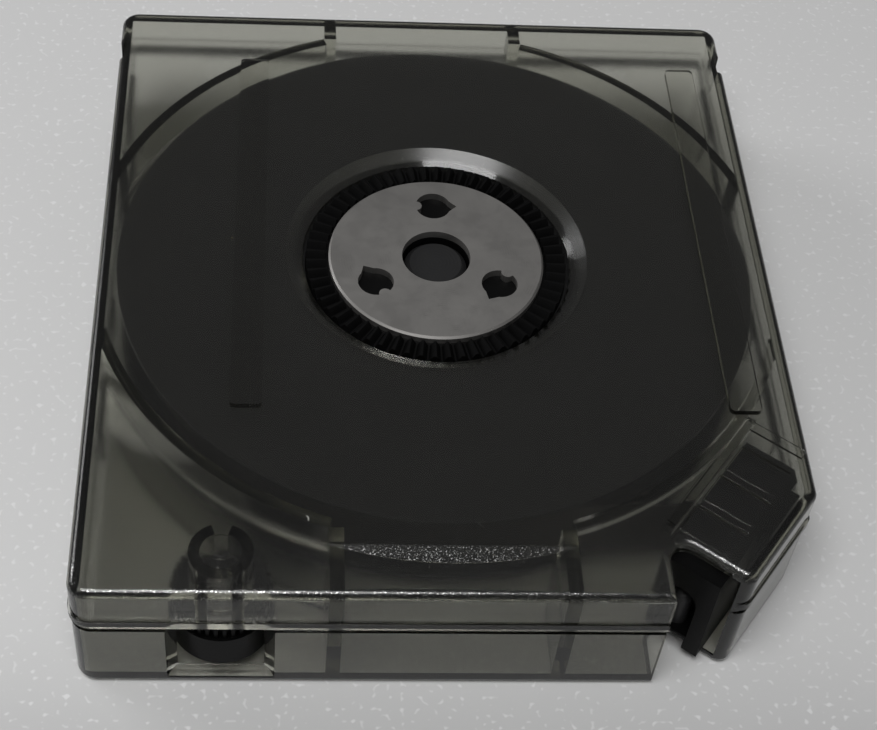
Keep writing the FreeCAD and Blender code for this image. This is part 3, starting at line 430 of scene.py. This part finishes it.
# %% Wound tape
tape = Finish("tape", Specular_IOR_Level=0.35)
x, y, _ = tape.axes()
layers = turned_rings(tape, 0.00025)
bands = (distance(x, y, 0.0, REEL_Y) * 900.0).sine() * 0.5 + 0.5
tape.set("Base Color", tape.mix(layers * 0.5 + bands * 0.5, (0.010, 0.009, 0.008),
                                (0.020, 0.016, 0.013)))
tape.set("Roughness", 0.28 + bands * 0.12 + layers * 0.08)
tape.bump(layers, 0.00002)
tape.put_on(nodes["tape_pack"], nodes["leader_strip"])
print("tape on the pack and its free end")

# %% [markdown]
# ## The steel insert
#
# A stamped steel disc is what the drive's magnet pulls on. Its plating is dull and slightly
# cloudy, and each time a drive took hold of it, the coupling left faint rings. The clouds are
# a soft noise, the rings are a fine wave broken by noise, and both change the roughness more
# than the colour, because metal shows its surroundings and has little colour of its own.

# %% Plated steel
def plated_steel(name, dull, bright):
    """Dull plated steel, cloudy and lightly ringed."""
    finish = Finish(name, Metallic=1.0)
    clouds = finish.noise(0.007, detail=4.0, roughness=0.6)
    speck = finish.noise(0.00022, detail=1.0)
    wear = turned_rings(finish, 0.0004) * finish.noise(0.003, detail=2.0).ramp(0.45, 0.65)
    finish.set("Base Color", finish.mix(clouds, dull, bright))
    finish.set("Roughness", 0.42 + clouds * 0.14 + speck * 0.08 - wear * 0.07)
    finish.bump(speck * 0.6 + wear * 0.4, 0.000012)
    return finish


insert_steel = plated_steel("insert_steel", (0.355, 0.345, 0.335), (0.395, 0.385, 0.37))
insert_steel.put_on(nodes["drive_insert"])
spring_steel = plated_steel("spring_steel", (0.45, 0.45, 0.44), (0.60, 0.60, 0.58))
spring_steel.put_on(nodes["latch_spring"], nodes["brake_spring"])
print("materials:", len(bpy.data.materials))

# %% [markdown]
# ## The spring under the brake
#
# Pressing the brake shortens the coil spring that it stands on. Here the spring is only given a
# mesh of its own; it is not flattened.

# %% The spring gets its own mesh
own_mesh(nodes["brake_spring"])

# %% [markdown]
# ## Dust and scratches on the face
#
# A cartridge that has been in use is never clean. A white fibre lies near the front of the
# face, a pale speck of dust beside the left rib, and a few short scratches curve across the
# plate over the reel. Each is a narrow strip that lies a hair above the plate, as a bump that
# fine would be lost in the grain.

# %% Fibre, speck and scratches
FACE = 0.0236


def strip(name, centre, radius, first, last, width, finish):
    """A thin curved strip on the face, round centre, between two angles in degrees."""
    steps = 14
    points = []
    for step in range(steps + 1):
        angle = math.radians(first + (last - first) * step / steps)
        half = width / 2 * math.sin(math.pi * (step + 0.5) / (steps + 1)) ** 0.5
        for reach in (radius - half, radius + half):
            points.append((centre[0] + reach * math.cos(angle),
                           centre[1] + reach * math.sin(angle), FACE + 0.00003))
    faces = [(i, i + 1, i + 3, i + 2) for i in range(0, 2 * steps, 2)]
    mesh = bpy.data.meshes.new(name)
    mesh.from_pydata(points, [], faces)
    made = bpy.data.objects.new(name, mesh)
    bpy.context.scene.collection.objects.link(made)
    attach(made, "case")
    finish.put_on(made)
    return made


lint = Finish("lint", Base_Color=(0.62, 0.62, 0.60), Roughness=0.8)
dust = Finish("dust", Base_Color=(0.30, 0.27, 0.15), Roughness=0.9)
scored = Finish("scored", Base_Color=(0.060, 0.060, 0.058), Roughness=0.6)
marks = [
    strip("lint_fibre", (-0.0214, -0.0492), 0.0006, -40, 70, 0.00014, lint),
    strip("dust_speck", (-0.0331, 0.0056), 0.0002, 40, 140, 0.00022, dust),
    strip("scratch_near_rib", (-0.0247, -0.0246), 0.0022, -100, -35, 0.00009, scored),
    strip("scratch_right", (0.0167, -0.0385), 0.0040, 50, 82, 0.00008, scored),
    strip("scratch_front", (0.0060, -0.0480), 0.0030, 200, 235, 0.00006, scored),
    strip("selector_gate_mark", (-0.0331, -0.0541), 0.0016, 200, 330, 0.00007, scored),
]
print("marks on the face:", len(marks))
